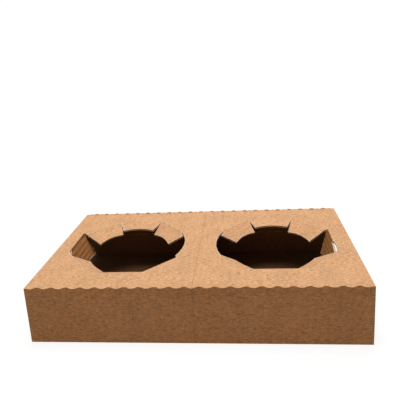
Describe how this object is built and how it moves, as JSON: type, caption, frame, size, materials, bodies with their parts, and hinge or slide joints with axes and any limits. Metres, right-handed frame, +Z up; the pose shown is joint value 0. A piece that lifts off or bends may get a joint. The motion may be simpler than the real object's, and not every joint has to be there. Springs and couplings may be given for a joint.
{
  "type": "cardboard cup carrier",
  "caption": "Folded corrugated sleeve that carries take-away cups side by side: each stands in a round hole in the top, held by tilted tabs and an end flap.",
  "frame": {"origin": "middle of the footprint, on the surface that the carrier stands on", "axes": "+X along the long folds, from the left cup to the right cup; +Y from the front wall to the glued back wall; +Z up through the cup holes"},
  "size_m": [0.22, 0.1244, 0.0392],
  "materials": {
    "kraft_board": "matt brown kraft liner on fine-flute corrugated board"
  },
  "bodies": {
    "root": {"carrier": "kraft_board"}
  },
  "joints": []
}
